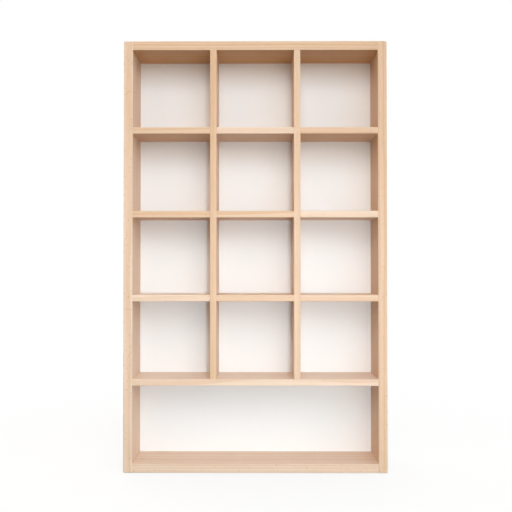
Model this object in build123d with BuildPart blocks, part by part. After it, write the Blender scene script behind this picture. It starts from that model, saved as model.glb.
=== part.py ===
from build123d import *
import os
from itertools import product
from math import atan2, degrees

# Printers tray: a shallow wall case of beech, three columns of square bays above one long bay.
# All sizes are in millimetres. The open front faces -Y and the tray stands on z = 0.

# Bays
bay_width = 90.0
bay_height = 90.0
long_bay_height = 90.0
bay_depth = 50.0  # from the front edges to the face of the back panel
columns = ["left", "centre", "right"]
rows = ["lower", "middle", "upper"]  # the short shelves, counted up from the long shelf

# Boards
frame_thickness = 10.5  # sides, top and bottom
shelf_thickness = 7.5
divider_thickness = 7.5
panel_thickness = 3.0
rear_recess = 9.0  # from the back panel to the wall
outer_arris = 1.0  # rounding of the tray's outside edges
inner_arris = 0.5  # rounding of the edges round the bays and the recess

# Joints between boards
housing_depth = 2.0  # a shelf or divider end is let this far into its neighbour
housing_stop = 6.0  # housings end this far behind the front edges, out of sight
groove_depth = 5.0  # for the back panel, in all four frame boards
panel_play = 0.5  # free on each side of the back panel, inside its grooves
fit_gap = 0.1  # a housing, groove or hole is this much wider than what it holds
end_gap = 0.3  # left free beyond the end of a tongue, dowel, screw or pin

# Corner dowels, two to a corner
corner_dowel_diameter = 6.0
corner_dowel_length = 25.0
corner_dowel_inset = 13.0  # from the front edges to the first dowel
corner_dowel_spacing = 25.0
dowel_cover = 3.0  # wood left between a dowel's hole and the outside
dowel_chamfer = 0.6

# Hanging rail behind the back panel
rail_height = 30.0
rail_dowel_diameter = 5.0
rail_dowel_length = 20.0
rail_dowel_spacing = 15.0

# Keyhole plates, let in flush with the rear of the rail
plate_width = 40.0
plate_height = 22.0
plate_thickness = 1.5
plate_corner = 3.0
plate_inset = 42.5  # from a side's inner face to the middle of the plate
keyhole_entry_diameter = 8.5
keyhole_neck_width = 4.4
keyhole_rise = 6.0  # from the middle of the entry to the middle of the neck's end
head_pocket_depth = 6.0  # room behind the plate for the wall screw's head
head_pocket_margin = 1.2  # the pocket is this much larger than the keyhole all round

# Countersunk screws of the plates
plate_screw_spacing = 29.0
screw_diameter = 3.0
screw_head_diameter = 5.6
screw_head_height = 1.3
screw_point_length = 2.0
screw_point_diameter = 0.6
screw_cover = 1.2  # wood left between a screw's hole and the back panel
cross_length = 3.2
cross_width = 0.7
cross_depth = 0.8

# Panel pins, one to each shelf bay
pin_diameter = 1.2
pin_head_diameter = 2.6
pin_head_height = 0.5
pin_length = 15.0  # under the head
pin_point_length = 1.5
pin_point_diameter = 0.2

# Sizes of the whole
inner_width = len(columns) * bay_width + (len(columns) - 1) * divider_thickness
inner_height = long_bay_height + (len(rows) + 1) * (shelf_thickness + bay_height)
outer_height = inner_height + 2 * frame_thickness
depth = bay_depth + panel_thickness + rear_recess

# Planes and levels
front = -depth / 2
rear = depth / 2
panel_front = front + bay_depth
panel_rear = panel_front + panel_thickness
inner_x = inner_width / 2  # inner face of the right side
long_shelf_z = frame_thickness + long_bay_height  # undersides of the boards
long_shelf_top = long_shelf_z + shelf_thickness
top_z = frame_thickness + inner_height
row_z = {row: long_shelf_z + (i + 1) * (shelf_thickness + bay_height) for i, row in enumerate(rows)}
column_pitch = bay_width + divider_thickness
column_x = {column: (i - (len(columns) - 1) / 2) * column_pitch for i, column in enumerate(columns)}
divider_x = {"left": column_x["left"] + column_pitch / 2, "right": column_x["right"] - column_pitch / 2}
shelf_levels = [long_shelf_z, *row_z.values()]

# Joints, worked out from the boards
tongue = housing_depth - end_gap
housing_y = (front + housing_stop, panel_front)
tongue_y = (front + housing_stop + end_gap, panel_front)
groove_y = (panel_front - fit_gap / 2, panel_rear + fit_gap / 2)
groove_width = inner_width + 2 * groove_depth
groove_height = inner_height + 2 * groove_depth
dowel_bite = frame_thickness - dowel_cover  # length of a dowel inside a side
corner_dowel_y = [front + corner_dowel_inset, front + corner_dowel_inset + corner_dowel_spacing]
bottom_dowel_spots = [(y, frame_thickness / 2) for y in corner_dowel_y]
top_dowel_spots = [(y, top_z + frame_thickness / 2) for y in corner_dowel_y]
corner_spots = bottom_dowel_spots + top_dowel_spots

# Rail, plates and screws, worked out from the boards
rail_z = top_z - rail_height / 2
rail_y = rear - rear_recess / 2
rail_dowel_spots = [(rail_y, rail_z - rail_dowel_spacing / 2), (rail_y, rail_z + rail_dowel_spacing / 2)]
plate_x = {"left": -inner_x + plate_inset, "right": inner_x - plate_inset}
keyhole_entry_z = rail_z - keyhole_rise / 2
screw_length = rear_recess - screw_cover - end_gap
screw_head_taper = degrees(atan2(screw_head_diameter - screw_diameter, 2 * screw_head_height))
screw_point_taper = degrees(atan2(screw_diameter - screw_point_diameter, 2 * screw_point_length))
screw_spots = [(x + side * plate_screw_spacing / 2, rail_z) for x, side in product(plate_x.values(), (-1, 1))]

# Panel pins, worked out from the boards
pin_hole_length = pin_length - panel_thickness + end_gap
pin_point_taper = degrees(atan2(pin_diameter - pin_point_diameter, 2 * pin_point_length))
pin_spots = [(x, z + shelf_thickness / 2) for x, z in product(column_x.values(), shelf_levels)]

# Work planes that look from the rear towards the front, so extrusions run forwards
rear_plane = Plane.XZ.offset(-rear)
panel_rear_plane = Plane.XZ.offset(-panel_rear)
panel_front_plane = Plane.XZ.offset(-panel_front)

os.makedirs("parts", exist_ok=True)
pieces = []


def finish(piece, label):
    piece.label = label
    pieces.append(piece)


def cut_box(x, y, z):
    # cuts the box between three pairs of limits
    sizes = [high - low for low, high in (x, y, z)]
    middle = [(high + low) / 2 for low, high in (x, y, z)]
    with Locations(tuple(middle)):
        Box(*sizes, mode=Mode.SUBTRACT)


def drill(plane, spots, diameter, length):
    with BuildSketch(plane) as holes:
        with Locations(*spots):
            Circle(diameter / 2)
    extrude(holes.sketch, amount=length, mode=Mode.SUBTRACT)


def cut_housing(face_x, direction, z):
    # for the end of a shelf whose underside is at z, in the face of an upright board
    x_limits = sorted((face_x, face_x + direction * housing_depth))
    cut_box(x_limits, housing_y, (z - fit_gap / 2, z + shelf_thickness + fit_gap / 2))


def cut_divider_housings(z_limits):
    half = (divider_thickness + fit_gap) / 2
    for x in divider_x.values():
        cut_box((x - half, x + half), housing_y, z_limits)


def tongued_outline(length):
    # a shelf seen from above: tongues at both ends, set back behind the front edge
    with Locations((0, (front + tongue_y[0]) / 2)):
        Rectangle(length, tongue_y[0] - front)
    with Locations((0, (tongue_y[0] + tongue_y[1]) / 2)):
        Rectangle(length + 2 * tongue, tongue_y[1] - tongue_y[0])


# Sides: the left one is made and the right one mirrors it
with BuildPart() as left_side:
    with BuildSketch(Plane.XY):
        with Locations((-inner_x - frame_thickness / 2, 0)):
            Rectangle(frame_thickness, depth)
    extrude(amount=outer_height)
    fillet(left_side.edges().filter_by(Axis.Z).group_by(Axis.X)[-1], radius=inner_arris)
    outside_edges = left_side.edges().filter_by(Axis.Z).group_by(Axis.X)[0]
    end_edges = left_side.edges().filter_by(Axis.X)
    outside_ends = left_side.edges().filter_by(Axis.Y).group_by(Axis.X)[0]
    fillet(outside_edges + end_edges + outside_ends, radius=outer_arris)
    groove_z = (frame_thickness - groove_depth, top_z + groove_depth)
    cut_box((-groove_width / 2, -inner_x), groove_y, groove_z)
    for z in shelf_levels:
        cut_housing(-inner_x, -1, z)
    into_side = Plane.YZ.offset(-inner_x - dowel_bite - end_gap)
    drill(into_side, corner_spots, corner_dowel_diameter + fit_gap, dowel_bite + end_gap)
    drill(into_side, rail_dowel_spots, rail_dowel_diameter + fit_gap, dowel_bite + end_gap)
finish(left_side.part, "left_side")

with BuildPart() as right_side:
    mirror(left_side.part, about=Plane.YZ)
finish(right_side.part, "right_side")


def frame_board(low_z, outer_end, inner_end, dowel_spots):
    # top or bottom board before its grooves: outer_end and inner_end pick the first or last edges in Z
    with BuildPart() as board:
        with BuildSketch(Plane.XY.offset(low_z)):
            Rectangle(inner_width, depth)
        extrude(amount=frame_thickness)
        fillet(board.edges().filter_by(Axis.X).group_by(Axis.Z)[outer_end], radius=outer_arris)
        fillet(board.edges().filter_by(Axis.X).group_by(Axis.Z)[inner_end], radius=inner_arris)
        hole_length = corner_dowel_length - dowel_bite + end_gap
        for end_x in (-inner_x, inner_x - hole_length):
            drill(Plane.YZ.offset(end_x), dowel_spots, corner_dowel_diameter + fit_gap, hole_length)
    return board.part


with BuildPart() as bottom_board:
    add(frame_board(0, 0, -1, bottom_dowel_spots))
    cut_box((-inner_x, inner_x), groove_y, (frame_thickness - groove_depth, frame_thickness))
finish(bottom_board.part, "bottom_board")

with BuildPart() as top_board:
    add(frame_board(top_z, -1, 0, top_dowel_spots))
    cut_box((-inner_x, inner_x), groove_y, (top_z, top_z + groove_depth))
    cut_divider_housings((top_z, top_z + housing_depth))
finish(top_board.part, "top_board")

# Long shelf: carries both dividers in its upper face
with BuildPart() as long_shelf:
    with BuildSketch(Plane.XY.offset(long_shelf_z)):
        tongued_outline(inner_width)
    extrude(amount=shelf_thickness)
    fillet(long_shelf.edges().filter_by(Axis.X).group_by(Axis.Y)[0], radius=inner_arris)
    cut_divider_housings((long_shelf_top - housing_depth, long_shelf_top))
    long_shelf_pins = [(x, long_shelf_z + shelf_thickness / 2) for x in column_x.values()]
    drill(panel_front_plane, long_shelf_pins, pin_diameter + fit_gap, pin_hole_length)
finish(long_shelf.part, "long_shelf")

# Dividers, each one board from the long shelf to the top board
for name, x in divider_x.items():
    with BuildPart() as divider:
        with BuildSketch(Plane.YZ.offset(x - divider_thickness / 2)):
            with Locations(((front + tongue_y[0]) / 2, (long_shelf_top + top_z) / 2)):
                Rectangle(tongue_y[0] - front, top_z - long_shelf_top)
            with Locations(((tongue_y[0] + tongue_y[1]) / 2, (long_shelf_top + top_z) / 2)):
                Rectangle(tongue_y[1] - tongue_y[0], top_z - long_shelf_top + 2 * tongue)
        extrude(amount=divider_thickness)
        fillet(divider.edges().filter_by(Axis.Z).group_by(Axis.Y)[0], radius=inner_arris)
        for side in (-1, 1):
            for z in row_z.values():
                cut_housing(x + side * divider_thickness / 2, -side, z)
    finish(divider.part, f"divider_{name}")

# Short shelves, one to each bay of the three upper shelf lines
for (row, z), (column, x) in product(row_z.items(), column_x.items()):
    with BuildPart() as shelf:
        with BuildSketch(Plane((x, 0, z))):
            tongued_outline(bay_width)
        extrude(amount=shelf_thickness)
        fillet(shelf.edges().filter_by(Axis.X).group_by(Axis.Y)[0], radius=inner_arris)
        drill(panel_front_plane, [(x, z + shelf_thickness / 2)], pin_diameter + fit_gap, pin_hole_length)
    finish(shelf.part, f"shelf_{row}_{column}")

# Back panel, held in the grooves of all four frame boards
with BuildPart() as back_panel:
    with BuildSketch(panel_rear_plane):
        with Locations((0, frame_thickness + inner_height / 2)):
            Rectangle(groove_width - 2 * panel_play, groove_height - 2 * panel_play)
    extrude(amount=panel_thickness)
    drill(panel_rear_plane, pin_spots, pin_diameter + fit_gap, panel_thickness)
finish(back_panel.part, "back_panel")

# Hanging rail: sunk places for the plates, pockets behind the keyholes, holes for screws and dowels
with BuildPart() as hanging_rail:
    with BuildSketch(rear_plane):
        with Locations((0, rail_z)):
            Rectangle(inner_width, rail_height)
    extrude(amount=rear_recess)
    fillet(hanging_rail.edges().filter_by(Axis.X).group_by(Axis.Y)[-1], radius=inner_arris)
    for x in plate_x.values():
        with BuildSketch(rear_plane):
            with Locations((x, rail_z)):
                RectangleRounded(plate_width + fit_gap, plate_height + fit_gap, plate_corner + fit_gap / 2)
        extrude(amount=plate_thickness, mode=Mode.SUBTRACT)
        with BuildSketch(rear_plane):
            with Locations((x, rail_z)):
                pocket_width = keyhole_entry_diameter + 2 * head_pocket_margin
                SlotCenterToCenter(keyhole_rise, pocket_width, rotation=90)
        extrude(amount=head_pocket_depth, mode=Mode.SUBTRACT)
    drill(rear_plane, screw_spots, screw_diameter + fit_gap, screw_length + end_gap)
    hole_length = rail_dowel_length - dowel_bite + end_gap
    for end_x in (-inner_x, inner_x - hole_length):
        drill(Plane.YZ.offset(end_x), rail_dowel_spots, rail_dowel_diameter + fit_gap, hole_length)
finish(hanging_rail.part, "hanging_rail")

# Keyhole plates: a round entry that narrows upwards to a neck
for name, x in plate_x.items():
    with BuildPart() as plate:
        with BuildSketch(rear_plane):
            with Locations((x, rail_z)):
                RectangleRounded(plate_width, plate_height, plate_corner)
                SlotCenterToCenter(keyhole_rise, keyhole_neck_width, rotation=90, mode=Mode.SUBTRACT)
            with Locations((x, keyhole_entry_z)):
                Circle(keyhole_entry_diameter / 2, mode=Mode.SUBTRACT)
        extrude(amount=plate_thickness)
        own_screws = [(x - plate_screw_spacing / 2, rail_z), (x + plate_screw_spacing / 2, rail_z)]
        drill(rear_plane, own_screws, screw_diameter + fit_gap, plate_thickness)
        with BuildSketch(rear_plane):
            with Locations(*own_screws):
                Circle((screw_head_diameter + fit_gap) / 2)
        extrude(amount=screw_head_height, taper=screw_head_taper, mode=Mode.SUBTRACT)
    finish(plate.part, f"keyhole_plate_{name}")

# Countersunk screws of the plates, with a cross recess
with BuildPart() as keyhole_screws:
    with BuildSketch(rear_plane):
        with Locations(*screw_spots):
            Circle(screw_head_diameter / 2)
    extrude(amount=screw_head_height, taper=screw_head_taper)
    with BuildSketch(rear_plane.offset(screw_head_height)):
        with Locations(*screw_spots):
            Circle(screw_diameter / 2)
    extrude(amount=screw_length - screw_head_height - screw_point_length)
    with BuildSketch(rear_plane.offset(screw_length - screw_point_length)):
        with Locations(*screw_spots):
            Circle(screw_diameter / 2)
    extrude(amount=screw_point_length, taper=screw_point_taper)
    with BuildSketch(rear_plane):
        with Locations(*screw_spots):
            Rectangle(cross_length, cross_width)
            Rectangle(cross_width, cross_length)
    extrude(amount=cross_depth, mode=Mode.SUBTRACT)
finish(keyhole_screws.part, "keyhole_screws")

# Panel pins, driven from behind into the rear edges of the shelves
with BuildPart() as panel_pins:
    with BuildSketch(panel_rear_plane):
        with Locations(*pin_spots):
            Circle(pin_diameter / 2)
    extrude(amount=pin_length - pin_point_length)
    with BuildSketch(panel_rear_plane.offset(pin_length - pin_point_length)):
        with Locations(*pin_spots):
            Circle(pin_diameter / 2)
    extrude(amount=pin_point_length, taper=pin_point_taper)
    with BuildSketch(panel_rear_plane):
        with Locations(*pin_spots):
            Circle(pin_head_diameter / 2)
    extrude(amount=-pin_head_height)
finish(panel_pins.part, "panel_pins")


def dowels(spots, diameter, length):
    # the same dowels at both sides of the tray, each let into a side by the dowel bite
    with BuildPart() as pegs:
        for start_x in (-inner_x - dowel_bite, inner_x + dowel_bite - length):
            with BuildSketch(Plane.YZ.offset(start_x)):
                with Locations(*spots):
                    Circle(diameter / 2)
            extrude(amount=length)
        chamfer(pegs.edges().filter_by(GeomType.CIRCLE), length=dowel_chamfer)
    return pegs.part


finish(dowels(corner_spots, corner_dowel_diameter, corner_dowel_length), "corner_dowels")
finish(dowels(rail_dowel_spots, rail_dowel_diameter, rail_dowel_length), "rail_dowels")

for piece in pieces:
    export_step(piece, f"parts/{piece.label}.step")
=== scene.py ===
import math

import bpy
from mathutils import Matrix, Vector


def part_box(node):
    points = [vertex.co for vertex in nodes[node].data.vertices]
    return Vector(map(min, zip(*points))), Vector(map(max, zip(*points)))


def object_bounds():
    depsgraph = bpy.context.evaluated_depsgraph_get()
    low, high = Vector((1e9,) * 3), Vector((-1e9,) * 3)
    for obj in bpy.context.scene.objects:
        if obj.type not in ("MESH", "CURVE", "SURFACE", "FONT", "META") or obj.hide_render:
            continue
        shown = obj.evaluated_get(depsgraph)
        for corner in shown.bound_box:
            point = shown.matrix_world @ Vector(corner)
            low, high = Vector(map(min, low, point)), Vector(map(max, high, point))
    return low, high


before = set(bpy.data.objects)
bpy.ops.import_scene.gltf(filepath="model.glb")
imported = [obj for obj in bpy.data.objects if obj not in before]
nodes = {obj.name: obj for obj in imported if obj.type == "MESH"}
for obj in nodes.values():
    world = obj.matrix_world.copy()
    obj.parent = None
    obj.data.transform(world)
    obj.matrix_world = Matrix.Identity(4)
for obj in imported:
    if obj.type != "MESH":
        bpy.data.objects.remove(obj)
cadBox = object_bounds()
print("frame loaded:", len(nodes), "nodes")

# The camera stands square on in front of the tray, a little below and to the right of its middle
view = {
    "place": (0.0042, -0.7664, 0.2415),
    "aim": (0.0009, -0.031, 0.2507),
    "lens": 44.61,  # millimetres, as is the width of the sensor
    "sensor": 36.0,
}


def makeCamera():
    data = bpy.data.cameras.new("camera")
    data.sensor_width = view["sensor"]
    data.lens = view["lens"]
    camera = bpy.data.objects.new("camera", data)
    bpy.context.scene.collection.objects.link(camera)
    camera.location = view["place"]
    look = Vector(view["aim"]) - Vector(view["place"])
    camera.rotation_mode = "QUATERNION"
    camera.rotation_quaternion = look.to_track_quat("-Z", "Y")
    bpy.context.scene.camera = camera


makeCamera()
print("camera placed")


# Small helpers for building node trees
def paint(red, green, blue):
    # a colour as a paint chart gives it, 0 to 255, turned into Blender's linear values
    def linear(part):
        part = part / 255
        return part / 12.92 if part <= 0.04045 else ((part + 0.055) / 1.055) ** 2.4

    return (linear(red), linear(green), linear(blue), 1.0)


def feed(tree, socket, value):
    # a socket takes either a link from another socket or a value of its own
    if isinstance(value, bpy.types.NodeSocket):
        tree.links.new(value, socket)
    else:
        socket.default_value = value


def addNode(tree, kind, inputs, **settings):
    made = tree.nodes.new(kind)
    for name, value in settings.items():
        setattr(made, name, value)
    for name, value in inputs.items():
        feed(tree, made.inputs[name], value)
    return made


def calc(tree, operation, *values):
    return addNode(tree, "ShaderNodeMath", dict(enumerate(values)), operation=operation).outputs[0]


def vectorCalc(tree, operation, *values):
    return addNode(tree, "ShaderNodeVectorMath", dict(enumerate(values)), operation=operation).outputs


def swing(tree, cloud, amount):
    # a cloud between 0 and 1 made to swing both ways, by an amount
    return calc(tree, "MULTIPLY", calc(tree, "SUBTRACT", cloud, 0.5), amount)


def step(tree, value, low, high, start=0.0, end=1.0):
    # rises smoothly from start to end while value goes from low to high
    names = ("Value", "From Min", "From Max", "To Min", "To Max")
    inputs = dict(zip(names, (value, low, high, start, end)))
    return addNode(tree, "ShaderNodeMapRange", inputs, interpolation_type="SMOOTHSTEP").outputs[0]


def blend(tree, share, first, second, how="MIX"):
    # mixes two colours by a share from 0 to 1
    mixer = addNode(tree, "ShaderNodeMix", {0: share, 6: first, 7: second}, data_type="RGBA", blend_type=how)
    return mixer.outputs[2]


def pack(tree, x, y, z):
    return addNode(tree, "ShaderNodeCombineXYZ", {0: x, 1: y, 2: z}).outputs[0]


def unpack(tree, vector):
    return addNode(tree, "ShaderNodeSeparateXYZ", {0: vector}).outputs


def stretch(tree, parts, rates):
    # three lengths, each made longer or shorter by a rate of its own, as one place
    return pack(tree, *(calc(tree, "MULTIPLY", part, rate) for part, rate in zip(parts, rates)))


def inMillimetres(tree, vector):
    scaled = addNode(tree, "ShaderNodeVectorMath", {0: vector, "Scale": 1000.0}, operation="SCALE")
    return unpack(tree, scaled.outputs[0])


def noise(tree, place, seed, scale=1.0, detail=2.0, roughness=0.5):
    inputs = {"Vector": place, "W": seed, "Scale": scale, "Detail": detail, "Roughness": roughness}
    return addNode(tree, "ShaderNodeTexNoise", inputs, noise_dimensions="4D").outputs["Fac"]


def objectPlace(tree):
    return tree.nodes.new("ShaderNodeTexCoord").outputs["Object"]


def surfaceNormal(tree):
    return tree.nodes.new("ShaderNodeNewGeometry").outputs["Normal"]


def newGroup(name, inputs, outputs):
    # inputs and outputs are (name, kind, starting value); kinds are Float, Color and Vector
    group = bpy.data.node_groups.new(name, "ShaderNodeTree")
    for direction, sockets in (("INPUT", inputs), ("OUTPUT", outputs)):
        for label, kind, start in sockets:
            socket = group.interface.new_socket(label, in_out=direction, socket_type="NodeSocket" + kind)
            socket.default_value = start
    entry = group.nodes.new("NodeGroupInput").outputs
    result = group.nodes.new("NodeGroupOutput").inputs
    return group, entry, result


def useGroup(tree, group, values):
    placed = tree.nodes.new("ShaderNodeGroup")
    placed.node_tree = group
    for name, value in values.items():
        feed(tree, placed.inputs[name], value)
    return placed.outputs


def newMaterial(name):
    material = bpy.data.materials.new(name)
    material.use_nodes = True
    tree = material.node_tree
    tree.nodes.clear()
    shader = tree.nodes.new("ShaderNodeBsdfPrincipled")
    output = tree.nodes.new("ShaderNodeOutputMaterial")
    tree.links.new(shader.outputs[0], output.inputs["Surface"])
    return material, tree, shader


def addBump(tree, shader, height, distance):
    bump = addNode(tree, "ShaderNodeBump", {"Height": height, "Distance": distance, "Strength": 1.0})
    tree.links.new(bump.outputs[0], shader.inputs["Normal"])


def dress(nodeName, material):
    slots = nodes[nodeName].data.materials
    slots.clear()
    slots.append(material)


# Edge mask: 1 on sharp and rounded edges and 0 on the flats; on the steel it places wear, on the beech a painted
# highlight along the arrises
wearAndHighlightEdges = {
    "flat": 0.999,  # how well a softened surface agrees with the real one on a flat
    "edge": 0.9,  # and on an edge
    "patchScale": 240.0,
    "patches": (0.35, 0.62),
}


def makeEdgeWearAndHighlight():
    group, entry, result = newGroup(
        "edgeWearAndHighlight",
        [("Radius", "Float", 0.0005), ("Break up", "Float", 0.5)],
        [("Mask", "Float", 0.0)],
    )
    softened = addNode(group, "ShaderNodeBevel", {"Radius": entry["Radius"]}, samples=4).outputs[0]
    agreement = vectorCalc(group, "DOT_PRODUCT", softened, surfaceNormal(group))["Value"]
    edge = step(group, agreement, wearAndHighlightEdges["flat"], wearAndHighlightEdges["edge"])
    cloud = noise(group, objectPlace(group), 3.0, scale=wearAndHighlightEdges["patchScale"], detail=3.0)
    patches = step(group, cloud, *wearAndHighlightEdges["patches"])
    kept = calc(group, "SUBTRACT", 1.0, entry["Break up"])
    share = calc(group, "MULTIPLY_ADD", patches, entry["Break up"], kept)
    feed(group, result["Mask"], calc(group, "MULTIPLY", edge, share))
    return group


# Handling marks: faint cloudy patches in the gloss of a finish
def makeHandling():
    group, entry, result = newGroup(
        "handling",
        [("Seed", "Float", 0.0), ("Size", "Float", 0.03), ("Low", "Float", 0.4), ("High", "Float", 0.5)],
        [("Roughness", "Float", 0.5)],
    )
    scale = calc(group, "DIVIDE", 1.0, entry["Size"])
    cloud = noise(group, objectPlace(group), entry["Seed"], scale=scale, detail=4.0, roughness=0.6)
    feed(group, result["Roughness"], step(group, cloud, 0.3, 0.7, entry["Low"], entry["High"]))
    return group


# Beech, as a solid: growth rings round a distant heart, straight fibres and short ray flecks,
# so that faces, edges and ends of a board each show their own cut of the same wood.
# Rates are per millimetre; where there are three, along the grain, along the radius and round the rings.
figure = {
    "strayAlong": 0.006,
    "strayAcross": 0.01,
    "strayThrough": 0.4,  # how much of its straying across the grain does through the board
    "yearRate": 0.13,
    "yearSpread": 3.0,  # how unevenly the rings are spaced
    "lateWood": (0.35, 0.93),  # from where to where in a ring the wood darkens
    "winter": (0.95, 1.0),  # and where it turns pale again
    "streaks": (0.004, 0.45, 0.35),
    "fibres": (0.05, 2.6, 2.6),
    "pores": (0.4, 9.0, 9.0),
    "poreShare": (0.58, 0.74),
    "rays": (0.28, 0.3, 0.8),
    "rayShare": (0.45, 0.75),
    "raySize": (0.22, 0.42),
    "endGrain": (0.62, 0.5, 0.42, 1.0),
    "endShare": 0.55,
}


def makeBeechGrain():
    group, entry, result = newGroup(
        "beechGrain",
        [
            ("Place", "Vector", (0, 0, 0)),  # X runs along the grain
            ("End", "Float", 0.0),  # how squarely the surface faces along the grain
            ("Heart", "Vector", (0, 0.09, 0.03)),  # from the board to the middle of the rings, in Y and Z
            ("Seed", "Float", 0.0),
            ("Tone", "Float", 0.5),
            ("Pale", "Color", (1, 1, 1, 1)),
            ("Honey", "Color", (1, 1, 1, 1)),
            ("Fleck", "Color", (1, 1, 1, 1)),
            ("Wander", "Float", 3.0),  # how far the grain strays from straight, in millimetres
            ("Ring width", "Float", 2.6),
            ("Rings", "Float", 0.4),
            ("Streaks", "Float", 0.6),
            ("Fibres", "Float", 0.3),
            ("Flecks", "Float", 0.5),
        ],
        [("Color", "Color", (1, 1, 1, 1)), ("Height", "Float", 0.5), ("Gloss", "Float", 0.5)],
    )
    tree = group
    seed = entry["Seed"]
    along, across, through = inMillimetres(tree, entry["Place"])
    _, heartAcross, heartThrough = inMillimetres(tree, entry["Heart"])

    # the grain strays slowly from side to side over the length of a board
    slowAlong = calc(tree, "MULTIPLY", along, figure["strayAlong"])
    slowAcross = calc(tree, "MULTIPLY", across, figure["strayAcross"])
    wander = swing(tree, noise(tree, pack(tree, slowAlong, slowAcross, 0.0), seed, detail=1.0), entry["Wander"])
    y = calc(tree, "ADD", calc(tree, "SUBTRACT", across, heartAcross), wander)
    sideways = calc(tree, "MULTIPLY", wander, figure["strayThrough"])
    z = calc(tree, "ADD", calc(tree, "SUBTRACT", through, heartThrough), sideways)
    radius = calc(tree, "SQRT", calc(tree, "ADD", calc(tree, "MULTIPLY", y, y), calc(tree, "MULTIPLY", z, z)))
    arc = calc(tree, "MULTIPLY", calc(tree, "ARCTAN2", y, z), radius)
    inTree = (along, radius, arc)

    # rings: pale early wood that ends in a thin darker line
    slowRadius = calc(tree, "MULTIPLY", radius, figure["yearRate"])
    years = noise(tree, pack(tree, slowRadius, 0.0, 0.0), seed)
    uneven = calc(tree, "MULTIPLY", years, figure["yearSpread"])
    count = calc(tree, "ADD", calc(tree, "DIVIDE", radius, entry["Ring width"]), uneven)
    season = calc(tree, "FRACT", count)
    darkening = step(tree, season, *figure["lateWood"])
    late = calc(tree, "MULTIPLY", darkening, step(tree, season, *figure["winter"], 1.0, 0.0))

    # streaks two or three millimetres wide that run far along the board
    streak = noise(tree, stretch(tree, inTree, figure["streaks"]), seed, detail=3.0, roughness=0.6)

    # fibres and pores, finer than a hair's breadth and a few centimetres long
    fibre = noise(tree, stretch(tree, inTree, figure["fibres"]), seed, detail=3.0, roughness=0.65)
    speckle = noise(tree, stretch(tree, inTree, figure["pores"]), seed, detail=1.0)
    pore = step(tree, speckle, *figure["poreShare"])

    # ray flecks: thin blades that stand along the radius, seen as dashes or as broad spots
    blades = {"Vector": stretch(tree, inTree, figure["rays"]), "Scale": 1.0, "W": seed}
    rays = addNode(tree, "ShaderNodeTexVoronoi", blades, voronoi_dimensions="4D").outputs
    chosen = step(tree, unpack(tree, rays["Color"])[0], *figure["rayShare"])
    fleck = calc(tree, "MULTIPLY", step(tree, rays["Distance"], *figure["raySize"], 1.0, 0.0), chosen)

    # from pale to honey by the board's tone, then each figure darkens its share
    ringShare = calc(tree, "MULTIPLY", late, entry["Rings"])
    coarse = calc(tree, "ADD", swing(tree, streak, entry["Streaks"]), ringShare)
    depth = calc(tree, "ADD", coarse, calc(tree, "ADD", swing(tree, fibre, entry["Fibres"]), entry["Tone"]))
    tones = {0: depth, 6: entry["Pale"], 7: entry["Honey"]}
    wood = addNode(tree, "ShaderNodeMix", tones, data_type="RGBA", clamp_factor=False).outputs[2]
    fleckShare = calc(tree, "MULTIPLY", fleck, entry["Flecks"])
    flecked = blend(tree, fleckShare, wood, entry["Fleck"], "MULTIPLY")
    end = step(tree, entry["End"], 0.6, 0.9)
    endShare = calc(tree, "MULTIPLY", end, figure["endShare"])
    feed(tree, result["Color"], blend(tree, endShare, flecked, figure["endGrain"], "MULTIPLY"))

    # pores and late wood lie a little lower, pores and ends are duller
    low = calc(tree, "ADD", calc(tree, "MULTIPLY", pore, 0.35), calc(tree, "MULTIPLY", late, 0.15))
    feed(tree, result["Height"], calc(tree, "SUBTRACT", calc(tree, "MULTIPLY_ADD", fibre, 0.5, 0.5), low))
    dull = calc(tree, "ADD", calc(tree, "MULTIPLY", pore, 0.12), calc(tree, "MULTIPLY", end, 0.2))
    feed(tree, result["Gloss"], dull)
    return group


edgeWearAndHighlight = makeEdgeWearAndHighlight()
handling = makeHandling()
beechGrain = makeBeechGrain()
print("shared effects built")

# Beech under clear matt lacquer: the same wood throughout, each board with a tone of its own
beech = {
    "pale": paint(234, 211, 189),
    "honey": paint(214, 177, 141),
    # painted shade: the wide faces, most of them inside the bays, are darkened against the front edges
    "wideFaceShade": (0.94, 0.91, 0.91, 1.0),  # the wide faces are a little darker than the edges
    "fleck": (0.76, 0.56, 0.4, 1.0),
    "wander": 3.0,
    "ringWidth": 2.6,
    "rings": 0.35,
    "streaks": 0.9,
    "fibres": 0.6,
    "flecks": 0.8,  # on the side boards
    "fewFlecks": 0.3,  # on the others
    # painted highlight: the beech's arrises are lightened towards pale, as where they catch the light
    "highlightRadius": 0.0008,
    "highlightBreakUp": 0.4,
    "highlightShare": 0.25,
    "markSize": 0.03,
    "roughLow": 0.42,
    "roughHigh": 0.52,
    "shine": 0.22,
    "grainDepth": 0.00006,
}
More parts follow.
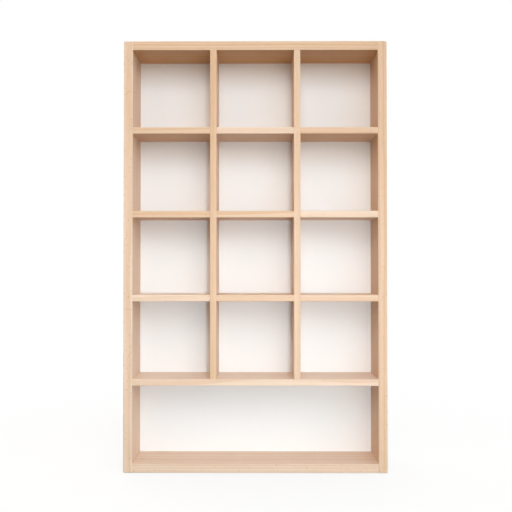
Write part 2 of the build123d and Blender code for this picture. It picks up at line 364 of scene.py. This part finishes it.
# board: tones of its edges and of its wide faces, from 0, pale, to 1, honey,
# and where the heart of its tree lay, in metres across the board;
# the wide-face tones are partly the wood's own and partly painted light and shade on the faces inside the bays,
# darkest under the top board
boards = {
    "left_side": (0.3, 0.35, (0.1193, -0.02)),
    "right_side": (0.64, 0.8, (-0.11, 0.03)),
    "top_board": (0.74, 1.22, (0.09, 0.12)),
    "bottom_board": (0.3, 0.22, (-0.03, -0.12)),
    "long_shelf": (0.2, -0.1, (0.16, 0.02)),
    "divider_left": (0.65, 0.6, (-0.15, 0.03)),
    "divider_right": (0.52, 0.51, (0.14, -0.02)),
    "shelf_upper_left": (0.62, 0.75, (0.10, 0.05)),
    "shelf_upper_centre": (0.34, 0.5, (-0.14, 0.02)),
    "shelf_upper_right": (0.68, 0.8, (0.17, 0.03)),
    "shelf_middle_left": (0.65, 0.75, (-0.12, -0.03)),
    "shelf_middle_centre": (0.63, 0.7, (0.13, 0.04)),
    "shelf_middle_right": (0.05, 0.15, (-0.16, 0.02)),
    "shelf_lower_left": (0.1, 0.05, (0.12, -0.04)),
    "shelf_lower_centre": (0.68, 0.65, (-0.18, 0.03)),
    "shelf_lower_right": (0.47, 0.45, (0.15, 0.05)),
    "hanging_rail": (0.7, 0.7, (0.16, 0.03)),
}
upright = ("left_side", "right_side", "divider_left", "divider_right")
flecky = ("left_side", "right_side")
# the frame's outer faces keep the tone of the board's edges, so that the wide-face tone with its painted shade
# stays inside the bays: the axis along which each looks, and which way
outerFaces = {"left_side": (0, -1), "right_side": (0, 1), "top_board": (2, 1), "bottom_board": (2, -1)}


def awayFrom(tree, facing):
    # 0 where the surface faces the given way and 1 where it faces any other
    return step(tree, facing, 0.5, 0.85, 1.0, 0.0)


def makeBeech(name, edgeTone, faceToneAndShade, heart, seed, grainAxis):
    material, tree, shader = newMaterial("beech_" + name)
    x, y, z = unpack(tree, objectPlace(tree))
    normal = unpack(tree, surfaceNormal(tree))
    place = pack(tree, z, y, x) if grainAxis == "Z" else pack(tree, x, y, z)
    facing = normal[2] if grainAxis == "Z" else normal[0]
    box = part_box(name)
    middle = (box[0] + box[1]) / 2
    heartPlace = (0, middle.y + heart[0], (middle.x if grainAxis == "Z" else middle.z) + heart[1])
    onWideFace = awayFrom(tree, calc(tree, "ABSOLUTE", normal[1]))
    faceShare = onWideFace
    if name in outerFaces:
        axis, way = outerFaces[name]
        inward = awayFrom(tree, calc(tree, "MULTIPLY", normal[axis], way))
        faceShare = calc(tree, "MULTIPLY", onWideFace, inward)
    grain = useGroup(tree, beechGrain, {
        "Place": place,
        "End": calc(tree, "ABSOLUTE", facing),
        "Heart": heartPlace,
        "Seed": seed,
        # the wide-face tone, partly painted shade, on the faces inside the bays
        "Tone": calc(tree, "MULTIPLY_ADD", faceShare, faceToneAndShade - edgeTone, edgeTone),
        "Pale": beech["pale"],
        "Honey": beech["honey"],
        "Fleck": beech["fleck"],
        "Wander": beech["wander"],
        "Ring width": beech["ringWidth"],
        "Rings": beech["rings"],
        "Streaks": beech["streaks"],
        "Fibres": beech["fibres"],
        "Flecks": beech["flecks"] if name in flecky else beech["fewFlecks"],
    })
    # painted shade: the wide faces are darkened
    shadedFaces = blend(tree, onWideFace, grain["Color"], beech["wideFaceShade"], "MULTIPLY")
    # painted highlight along the arrises, mixed towards pale beech
    wearAndHighlight = useGroup(tree, edgeWearAndHighlight, {"Radius": beech["highlightRadius"], "Break up": beech["highlightBreakUp"]})["Mask"]
    highlightShare = calc(tree, "MULTIPLY", wearAndHighlight, beech["highlightShare"])
    feed(tree, shader.inputs["Base Color"], blend(tree, highlightShare, shadedFaces, beech["pale"]))
    marks = useGroup(tree, handling, {
        "Seed": seed,
        "Size": beech["markSize"],
        "Low": beech["roughLow"],
        "High": beech["roughHigh"],
    })
    feed(tree, shader.inputs["Roughness"], calc(tree, "ADD", marks["Roughness"], grain["Gloss"]))
    shader.inputs["Specular IOR Level"].default_value = beech["shine"]
    addBump(tree, shader, grain["Height"], beech["grainDepth"])
    return material


for order, (name, (edgeTone, faceToneAndShade, heart)) in enumerate(boards.items()):
    seed = 1.7 * order + 0.3  # every board is cut from another place
    grainAxis = "Z" if name in upright else "X"
    dress(name, makeBeech(name, edgeTone, faceToneAndShade, heart, seed, grainAxis))

# Dowels: beech from another plank, hidden in the corners
dowels = {"tone": 0.8, "heart": (0.1, 0.1), "firstSeed": 50.0}
for order, name in enumerate(("corner_dowels", "rail_dowels")):
    seed = dowels["firstSeed"] + order
    dress(name, makeBeech(name, dowels["tone"], dowels["tone"], dowels["heart"], seed, "X"))
print("boards dressed")

# Back panel: hardboard, white and smooth towards the bays, brown and ribbed like cloth behind
panel = {
    "white": paint(241, 240, 237),
    "brown": paint(150, 112, 79),
    "darkBrown": paint(118, 84, 57),
    "mottleScale": 900.0,
    "roughLow": 0.45,
    "roughHigh": 0.55,
    "rearRough": 0.3,  # how much rougher the rear is
    "markSize": 0.05,
    "meshPitch": 0.0013,
    "meshDepth": 0.00012,
    "peelScale": 500.0,
    "peelDepth": 0.00002,
}


def makePanel():
    material, tree, shader = newMaterial("white_hardboard")
    place = objectPlace(tree)
    x, y, z = unpack(tree, place)
    front = step(tree, unpack(tree, surfaceNormal(tree))[1], -0.6, -0.4, 1.0, 0.0)
    rear = calc(tree, "SUBTRACT", 1.0, front)
    mottled = noise(tree, place, 4.0, scale=panel["mottleScale"], detail=4.0, roughness=0.7)
    brown = blend(tree, step(tree, mottled, 0.3, 0.7), panel["darkBrown"], panel["brown"])
    feed(tree, shader.inputs["Base Color"], blend(tree, front, brown, panel["white"]))
    marks = useGroup(tree, handling, {
        "Seed": 9.0,
        "Size": panel["markSize"],
        "Low": panel["roughLow"],
        "High": panel["roughHigh"],
    })
    feed(tree, shader.inputs["Roughness"], calc(tree, "MULTIPLY_ADD", rear, panel["rearRough"], marks["Roughness"]))

    # crossed ribs behind, a faint orange peel in the paint in front
    turns = 2 * math.pi / panel["meshPitch"]
    ribs = [calc(tree, "SINE", calc(tree, "MULTIPLY", part, turns)) for part in (x, z)]
    waves = calc(tree, "MULTIPLY", *ribs)
    mesh = calc(tree, "MULTIPLY_ADD", waves, 0.5, calc(tree, "MULTIPLY", mottled, 0.5))
    peel = noise(tree, place, 8.0, scale=panel["peelScale"])
    roughSide = calc(tree, "MULTIPLY", calc(tree, "MULTIPLY", mesh, rear), panel["meshDepth"])
    smoothSide = calc(tree, "MULTIPLY", calc(tree, "MULTIPLY", peel, front), panel["peelDepth"])
    addBump(tree, shader, calc(tree, "ADD", roughSide, smoothSide), 1.0)
    return material


dress("back_panel", makePanel())
print("back panel dressed")

# Steel: zinc on the keyhole plates and screws, bright wire pins
steels = {
    "zinc_plate": {
        "colour": paint(196, 196, 192),
        "dull": paint(160, 160, 158),
        "rough": (0.28, 0.42),
        "spangle": 0.006,  # the width of a crystal of zinc, in metres
    },
    "zinc_screw": {
        "colour": paint(205, 200, 184),
        "dull": paint(150, 146, 134),
        "rough": (0.25, 0.38),
        "spangle": 0.002,
    },
    "pin_wire": {
        "colour": paint(176, 174, 170),
        "dull": paint(128, 126, 122),
        "rough": (0.3, 0.45),
        "spangle": 0.001,
    },
}
# what all three steels share
steelWear = {
    "radius": 0.0004,
    "breakUp": 0.5,
    "brightness": 0.5,  # how far wear brings an edge back to bright
    "crystals": 0.7,  # how far the dullest crystal goes towards dull
    "markSize": 0.008,
    "scratchScale": 3000.0,
    "scratchDepth": 0.00001,
}


def makeSteel(name, values):
    material, tree, shader = newMaterial(name)
    place = objectPlace(tree)
    cells = addNode(tree, "ShaderNodeTexVoronoi", {"Vector": place, "Scale": 1 / values["spangle"]})
    crystal = calc(tree, "MULTIPLY", unpack(tree, cells.outputs["Color"])[0], steelWear["crystals"])
    wearAndHighlight = useGroup(tree, edgeWearAndHighlight, {"Radius": steelWear["radius"], "Break up": steelWear["breakUp"]})["Mask"]
    shade = calc(tree, "MULTIPLY_ADD", wearAndHighlight, -steelWear["brightness"], crystal)
    feed(tree, shader.inputs["Base Color"], blend(tree, shade, values["colour"], values["dull"]))
    low, high = values["rough"]
    marks = useGroup(tree, handling, {"Seed": 2.0, "Size": steelWear["markSize"], "Low": low, "High": high})
    feed(tree, shader.inputs["Roughness"], marks["Roughness"])
    scratches = noise(tree, place, 6.0, scale=steelWear["scratchScale"])
    addBump(tree, shader, scratches, steelWear["scratchDepth"])
    shader.inputs["Metallic"].default_value = 1.0
    return material


steel = {name: makeSteel(name, values) for name, values in steels.items()}
for nodeName, finish in {
    "keyhole_plate_left": "zinc_plate",
    "keyhole_plate_right": "zinc_plate",
    "keyhole_screws": "zinc_screw",
    "panel_pins": "pin_wire",
}.items():
    dress(nodeName, steel[finish])
print("steel dressed")

# Studio: a pale floor, white all round to the eye, and soft lamps
studio = {
    "floorSize": 12.0,
    "floorColour": paint(236, 236, 235),
    "floorBounce": paint(120, 120, 119),  # the floor as the light sees it, so that little comes up from below
    "floorRough": 0.9,
    "floorGlow": 0.75,  # how far the floor is lifted to white beside the tray, where the camera sees it
    "fadeStart": 0.15,  # from here outwards, in metres, the floor goes over to plain white
    "fadeEnd": 0.6,
}
# broad soft light from all round: the direction that each share of it comes from, and its colour
sky = {
    "right": {"from": (0.866, -0.5, 0.0), "colour": (1.9, 2.13, 2.36)},
    "left": {"from": (-1.0, 0.0, 0.0), "colour": (0.8, 0.67, 0.54)},
    "behind right": {"from": (0.707, 0.707, 0.0), "colour": (1.8, 1.75, 1.7)},
    "behind left": {"from": (-0.707, 0.707, 0.0), "colour": (2.6, 2.5, 2.4)},
}
# soft lamps: place and size in metres, power in watts and colour; each looks at the middle of the tray
lamps = {
    "overhead": {"place": (0.0, -1.06, 2.52), "size": 1.0, "power": 10.0, "colour": (1.1, 1.0, 0.9)},
    "above": {"place": (0.0, -1.1, 1.0), "size": 0.5, "power": 3.2, "colour": (0.88, 1.0, 1.12)},
    "upper left": {"place": (-0.75, -0.9, 1.0), "size": 0.5, "power": 2.0, "colour": (1.2, 1.0, 0.8)},
    "low": {"place": (0.2, -0.5, 0.12), "size": 0.2, "power": 0.32, "colour": (1.14, 1.0, 0.86)},
}
# a flash beside the camera, which throws the narrow shadows left of the dividers, and a weak one for the
# top row; their cones are in degrees
flashes = {
    "flash": {
        "place": (0.1, -0.95, 0.22),
        "aim": (0.0, 0.0, -0.06),
        "size": 0.04,
        "cone": 72.0,
        "power": 10.6,
        "colour": (0.88, 1.0, 1.12),
    },
    "upper flash": {
        "place": (0.1, -1.0, 0.6),
        "aim": (0.0, 0.0, 0.5),
        "size": 0.15,
        "cone": 60.0,
        "power": 5.2,
        "colour": (1.1, 1.0, 0.9),
    },
}
white = (1.0, 1.0, 1.0, 1.0)


def seenDirectly(tree):
    # 1 where the camera, a reflection or glass looks straight at the surface
    path = tree.nodes.new("ShaderNodeLightPath").outputs
    seen = calc(tree, "MAXIMUM", path["Is Camera Ray"], path["Is Glossy Ray"])
    return calc(tree, "MAXIMUM", seen, path["Is Transmission Ray"])


def makeFloor():
    half = studio["floorSize"] / 2
    corners = [(-half, -half, 0), (half, -half, 0), (half, half, 0), (-half, half, 0)]
    mesh = bpy.data.meshes.new("floor")
    mesh.from_pydata(corners, [], [(0, 1, 2, 3)])
    floor = bpy.data.objects.new("floor", mesh)
    bpy.context.scene.collection.objects.link(floor)
    material, tree, shader = newMaterial("floor_white")
    seen = seenDirectly(tree)
    feed(tree, shader.inputs["Base Color"], blend(tree, seen, studio["floorBounce"], studio["floorColour"]))
    shader.inputs["Roughness"].default_value = studio["floorRough"]
    glow = addNode(tree, "ShaderNodeEmission", {"Color": white, "Strength": 1.0})
    away = vectorCalc(tree, "LENGTH", objectPlace(tree))["Value"]
    lift = step(tree, away, studio["fadeStart"], studio["fadeEnd"], studio["floorGlow"], 1.0)
    share = calc(tree, "MULTIPLY", seen, lift)
    mixed = addNode(tree, "ShaderNodeMixShader", {0: share, 1: shader.outputs[0], 2: glow.outputs[0]})
    output = next(n for n in tree.nodes if n.type == "OUTPUT_MATERIAL")
    tree.links.new(mixed.outputs[0], output.inputs["Surface"])
    mesh.materials.append(material)


def makeWorld():
    world = bpy.data.worlds.new("studio")
    world.use_nodes = True
    bpy.context.scene.world = world
    tree = world.node_tree
    tree.nodes.clear()
    direction = tree.nodes.new("ShaderNodeTexCoord").outputs["Generated"]
    light = (0, 0, 0, 1)
    for share in sky.values():
        along = vectorCalc(tree, "DOT_PRODUCT", direction, share["from"])["Value"]
        reach = calc(tree, "MAXIMUM", along, 0.0)
        light = blend(tree, calc(tree, "MULTIPLY", reach, reach), light, (*share["colour"], 1), "ADD")
    soft = addNode(tree, "ShaderNodeBackground", {"Color": light, "Strength": 1.0})
    plain = addNode(tree, "ShaderNodeBackground", {"Color": white, "Strength": 1.0})
    mixed = addNode(tree, "ShaderNodeMixShader", {0: seenDirectly(tree), 1: soft.outputs[0], 2: plain.outputs[0]})
    addNode(tree, "ShaderNodeOutputWorld", {"Surface": mixed.outputs[0]})


def placeLight(data, values, aim):
    data.energy = values["power"]
    data.color = values["colour"]
    lamp = bpy.data.objects.new(data.name, data)
    bpy.context.scene.collection.objects.link(lamp)
    lamp.location = values["place"]
    lamp.visible_camera = False  # some stand close enough to come into other views
    lamp.rotation_mode = "QUATERNION"
    lamp.rotation_quaternion = (Vector(aim) - lamp.location).to_track_quat("-Z", "Y")


def makeLamps():
    for name, values in lamps.items():
        data = bpy.data.lights.new(name, "AREA")
        data.size = values["size"]
        placeLight(data, values, (cadBox[0] + cadBox[1]) / 2)


def makeFlashes():
    for name, values in flashes.items():
        data = bpy.data.lights.new(name, "SPOT")
        data.shadow_soft_size = values["size"]
        data.spot_size = math.radians(values["cone"])
        data.spot_blend = 1.0  # fades all the way from the middle of its cone to the rim
        placeLight(data, values, values["aim"])


makeFloor()
makeWorld()
makeLamps()
makeFlashes()
bpy.context.scene.view_settings.view_transform = "Standard"
print("studio lit")
